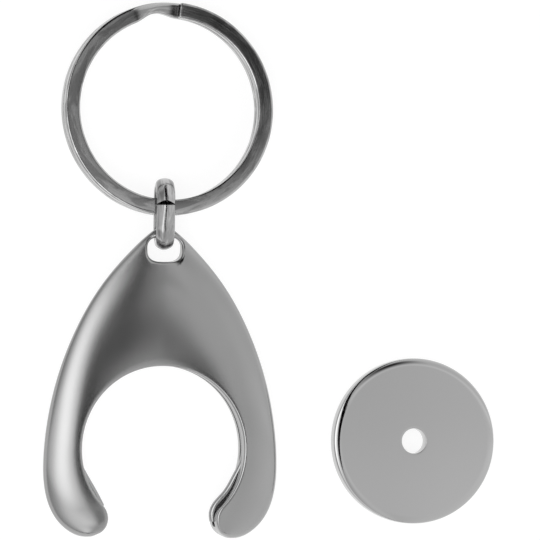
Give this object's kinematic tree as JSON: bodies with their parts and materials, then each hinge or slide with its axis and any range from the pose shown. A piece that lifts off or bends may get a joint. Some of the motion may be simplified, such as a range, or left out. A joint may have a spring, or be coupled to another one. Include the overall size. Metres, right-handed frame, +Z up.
{
  "type": "coin holder keyring",
  "caption": "Horseshoe-shaped metal holder with a spring wire that grips a coin-size chip, joined by a half-round link to a two-turn split ring for keys; the chip lies loose beside it.",
  "frame": {"origin": "middle of the bounding box in plan, on the table that the keyring lies on", "axes": "+X from the holder to the loose chip, +Y from the holder's mouth to the split ring, +Z up off the table, out of the holder's front face"},
  "size_m": [0.0652, 0.0752, 0.0065],
  "materials": {
    "satin_nickel": "satin nickel plating on a zinc die casting, fine even grain",
    "bright_nickel": "bright nickel plating on steel, drawn along the wire",
    "spring_steel": "drawn spring steel wire, smooth",
    "chip_steel": "polished nickel plating on a punched steel disc"
  },
  "bodies": {
    "holder": {"holder_body": "satin_nickel", "retaining_spring": "spring_steel"},
    "link": {"connecting_link": "bright_nickel"},
    "ring": {"split_ring": "bright_nickel"},
    "chip": {"trolley_chip": "chip_steel"}
  },
  "joints": [
    {"name": "link_swing", "type": "hinge", "parent": "holder", "child": "link", "pos_m": [-0.01581, 0.00607, 0.00325], "axis": [1, 0, 0], "range_deg": [-90, 90]},
    {"name": "ring_swing", "type": "hinge", "parent": "link", "child": "ring", "pos_m": [-0.01536, 0.00872, 0.00325], "axis": [1, 0, 0], "range_deg": [-75, 75]},
    {"name": "chip_lift", "type": "slide", "parent": "holder", "child": "chip", "axis": [0, 0, 1], "range_m": [0, 0.015]}
  ]
}
